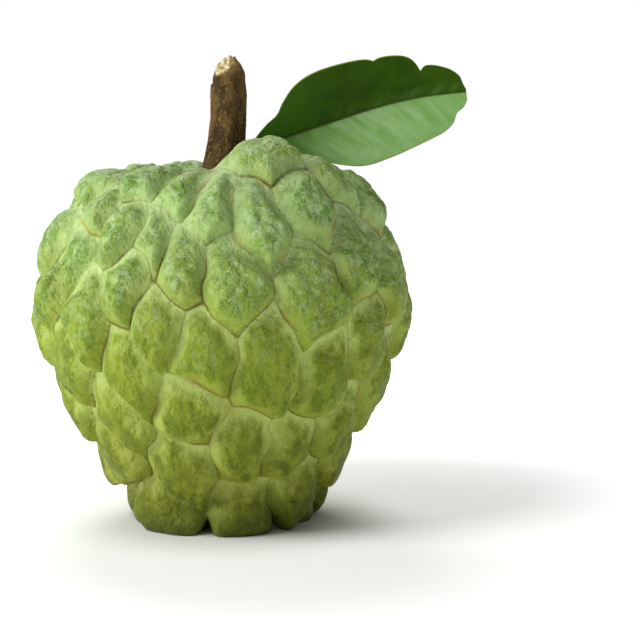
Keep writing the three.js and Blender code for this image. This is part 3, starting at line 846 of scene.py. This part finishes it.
def bark_material():
    """Brown bark with lengthwise streaks and grit, and pale wood at the torn end."""
    n = Nodes("stem bark")
    place = n.place()
    streaks = n.noise(n.stretched(place, (1, 1, 0.2)), BARK_GRAIN["streaks"], 4.0, 0.6)
    patches = n.noise(n.stretched(place, (1, 1, 0.6)), BARK_GRAIN["patches"], 3.0)
    grit = n.noise(n.stretched(place, (1, 1, 0.6)), BARK_GRAIN["grit"], 3.0, 0.6)
    level = n.attribute("level")
    torn = n.attribute("torn")
    pale = n.attribute("pale")
    colour = n.mix(n.ramp(patches, 0.38, 0.62), BARK_DARK, BARK_LIGHT)
    colour = n.mix(n.ramp(streaks, 0.5, 0.32, 0.0, 0.6), colour, BARK_STREAK)
    colour = n.mix(n.ramp(grit, 0.54, 0.66, 0.0, 0.6), colour, BARK_GRIT)
    colour = n.mix(n.ramp(level, 0.3, 0.0, 0.0, 0.5), colour, BARK_FOOT)
    fibre = n.noise(n.stretched(place, (1, 1, 0.3)), BARK_GRAIN["fibre"], 4.0, 0.7)
    dry = n.mix(n.ramp(fibre, 0.35, 0.65), DRY_LIGHT, DRY_DARK)
    colour = n.mix(n.ramp(torn, 0.08, 0.3), colour, dry)
    wood = n.mix(n.ramp(fibre, 0.4, 0.62), WOOD_PALE, WOOD_DARK)
    colour = n.mix(n.ramp(pale, 0.2, 0.7), colour, wood)
    normal = n.bump(streaks, BARK_RELIEF["streaks"])
    normal = n.bump(grit, BARK_RELIEF["grit"], normal)
    return n.finish(colour, n.ramp(streaks, 0.3, 0.7, 0.85, 0.7), normal, Specular_IOR_Level=0.2)


def leaf_material():
    """A dark upper half, a lower half lightened by painted sheen and highlights, the edge and midrib,
    and a pale back.
    """
    n = Nodes("leaf green")
    place = n.place()
    side = n.attribute("side")
    width = n.attribute("width")
    run = n.attribute("run")
    vein = n.attribute("vein")
    streak = n.attribute("streak")
    mottle = n.noise(place, LEAF_GRAIN["mottle"], 3.0, 0.6)
    cells = n.noise(place, LEAF_GRAIN["cells"], 3.0, 0.6)
    dark = n.mix(n.ramp(mottle, 0.3, 0.7), UPPER_DARK, UPPER_LIGHT)
    dark = n.mix(n.ramp(run, 0.5, 0.12, 0.0, 0.8), dark, UPPER_BASE)
    sheen = n.math("MULTIPLY", n.ramp(width, 3.5, 0.8), n.ramp(run, 0.4, 0.6))
    dark = n.mix(n.math("MULTIPLY", sheen, n.ramp(streak, -0.2, 0.4, 0.1, 0.4)), dark, UPPER_SHEEN)
    # The lower half: the leaf's green under a painted sheen, with painted highlight streaks along the
    # veins and duller streaks between.
    light = n.mix(n.ramp(mottle, 0.3, 0.7), LOWER_SHEEN_DARK, LOWER_SHEEN_LIGHT)
    inner = n.ramp(width, 11, 4, 0.2, 1.0)
    painted_highlight = n.math("MULTIPLY", n.ramp(streak, -0.1, 0.5, 0.0, 0.5), inner)
    light = n.mix(painted_highlight, light, LOWER_PAINTED_HIGHLIGHT)
    dull = n.math("MULTIPLY", n.ramp(streak, -0.1, -0.4, 0.0, 0.45), inner)
    light = n.mix(dull, light, LOWER_STREAK)
    light = n.mix(n.ramp(run, 0.45, 0.15), light, LOWER_BASE)
    light = n.mix(n.ramp(run, 0.62, 0.95, 0.0, 0.65), light, LOWER_TIP)
    colour = n.mix(n.ramp(side, -0.5, 0.5), light, dark)
    colour = n.mix(n.ramp(n.attribute("edge"), 0.965, 0.995, 0.0, 0.7), colour, LEAF_EDGE)
    colour = n.mix(n.ramp(width, 0.5, 0.15, 0.0, 0.8), colour, MIDRIB_GREEN)
    pale = n.mix(n.ramp(mottle, 0.3, 0.7), BACK_DARK, BACK_LIGHT)
    pale = n.mix(n.ramp(vein, 0.5, 0.1, 0.0, 0.6), pale, BACK_VEIN)
    pale = n.mix(n.ramp(width, 1.6, 0.8, 0.0, 0.9), pale, BACK_RIB)
    colour = n.mix(n.ramp(n.attribute("back"), 0.4, 0.6), colour, pale)
    normal = n.bump(streak, LEAF_RELIEF["streak"])
    normal = n.bump(cells, LEAF_RELIEF["cells"], normal)
    return n.finish(colour, n.ramp(mottle, 0.3, 0.7, 0.45, 0.55), normal, Specular_IOR_Level=0.06)


# The stage


def make_floor():
    """A wide pale floor that ends in white."""
    mesh = bpy.data.meshes.new("floor")
    corners = [(x * FLOOR_REACH, y * FLOOR_REACH, 0) for x, y in ((-1, -1), (1, -1), (1, 1), (-1, 1))]
    mesh.from_pydata(corners, [], [(0, 1, 2, 3)])
    n = Nodes("pale floor")
    n.link(FLOOR_WHITE, n.shader.inputs["Base Color"])
    n.shader.inputs["Roughness"].default_value = FLOOR_ROUGHNESS
    distance = n.tree.nodes.new("ShaderNodeVectorMath")
    distance.operation = "LENGTH"
    n.link(n.place(), distance.inputs[0])
    n.shader.inputs["Emission Color"].default_value = (1, 1, 1, 1)
    # Little glow round the fruit's foot paints a darker shadow there.
    near = n.ramp(distance.outputs["Value"], *FLOOR_GLOW_NEAR)
    far = n.ramp(distance.outputs["Value"], *FLOOR_GLOW_FAR)
    n.link(n.math("ADD", near, far), n.shader.inputs["Emission Strength"])
    mesh.materials.append(n.material)
    floor = bpy.data.objects.new("floor", mesh)
    bpy.context.scene.collection.objects.link(floor)


def make_light(name, place, aim, width, power):
    """A round soft light that faces its aim."""
    lamp = bpy.data.lights.new(name, "AREA")
    lamp.shape = "DISK"
    lamp.size = width
    lamp.energy = power
    light = bpy.data.objects.new(name, lamp)
    light.location = place
    light.rotation_euler = (Vector(aim) - Vector(place)).to_track_quat("-Z", "Y").to_euler()
    bpy.context.scene.collection.objects.link(light)


def make_world():
    """White surroundings that give less light than they show."""
    world = bpy.data.worlds.new("studio")
    world.use_nodes = True
    tree = world.node_tree
    background = tree.nodes["Background"]
    background.inputs["Color"].default_value = (1, 1, 1, 1)
    ray = tree.nodes.new("ShaderNodeLightPath")
    strength = tree.nodes.new("ShaderNodeMapRange")
    strength.inputs["To Min"].default_value = WORLD_LIGHT
    strength.inputs["To Max"].default_value = 1.0
    tree.links.new(ray.outputs["Is Camera Ray"], strength.inputs["Value"])
    tree.links.new(strength.outputs["Result"], background.inputs["Strength"])
    bpy.context.scene.world = world


def make_camera():
    """The camera, in front of the fruit and raised a little above its aim."""
    raised = math.radians(CAMERA_RAISED)
    lens = bpy.data.cameras.new("camera")
    lens.lens = CAMERA_LENS
    lens.clip_start = 0.01
    camera = bpy.data.objects.new("camera", lens)
    back = Vector((0, -math.cos(raised), math.sin(raised)))
    camera.location = (Vector(CAMERA_AIM) + back * CAMERA_DISTANCE) * MM
    camera.rotation_euler = (math.pi / 2 - raised, 0, 0)
    bpy.context.scene.collection.objects.link(camera)
    bpy.context.scene.camera = camera


make_camera()
make_world()
make_floor()
for light in LIGHTS:
    make_light(*light)
bpy.context.scene.view_settings.view_transform = "Standard"

for piece, node, slot in (
    (make_fruit(skin_material()), "fruit", "skin"),
    (make_stem(bark_material()), "stem", "bark"),
    (make_leaf(leaf_material()), "leaf", "leaf"),
):
    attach(piece, "root")
    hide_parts(node)
